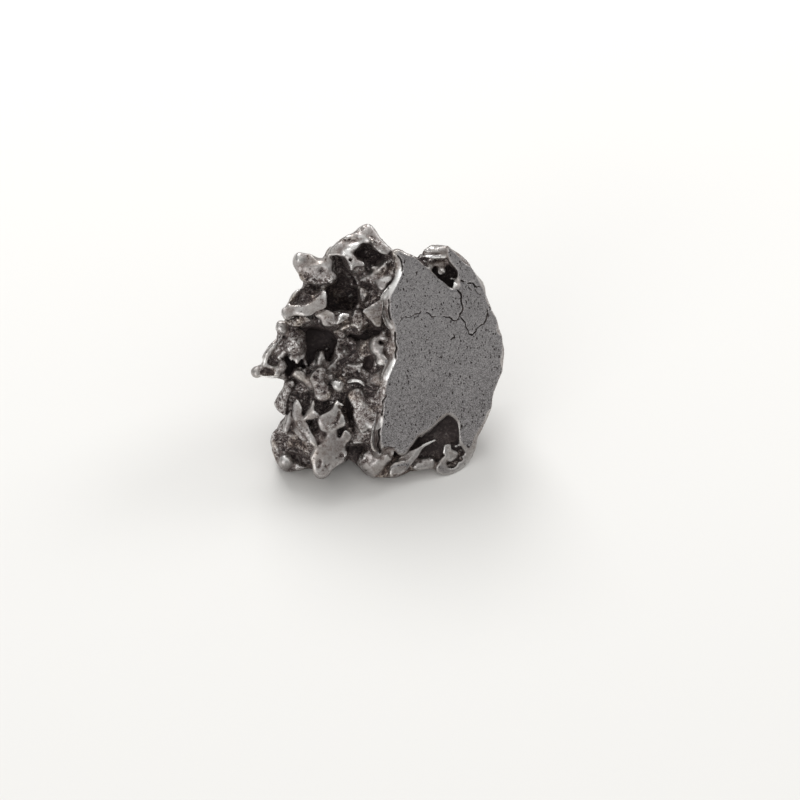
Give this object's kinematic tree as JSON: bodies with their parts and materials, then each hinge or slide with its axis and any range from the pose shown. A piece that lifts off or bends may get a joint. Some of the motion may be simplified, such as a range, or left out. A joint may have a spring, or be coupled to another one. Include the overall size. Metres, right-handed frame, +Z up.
{
  "type": "iron meteorite",
  "caption": "Jagged lump of natural iron with thin ledges, horns and deep hollows, sawn flat on one side; rests on small worn spots.",
  "frame": {"origin": "on the table under the middle of the meteorite's bounding box", "axes": "+Z up as it rests; +X across to the right as seen from the side with the sawn face; the sawn face looks towards -Y, turned 22 degrees to +X and leaning back 22 degrees"},
  "size_m": [0.033, 0.0248, 0.0305],
  "materials": {
    "iron": "worn natural iron, with one fine-ground sawn face"
  },
  "bodies": {
    "root": {"meteorite": "iron"}
  },
  "joints": []
}
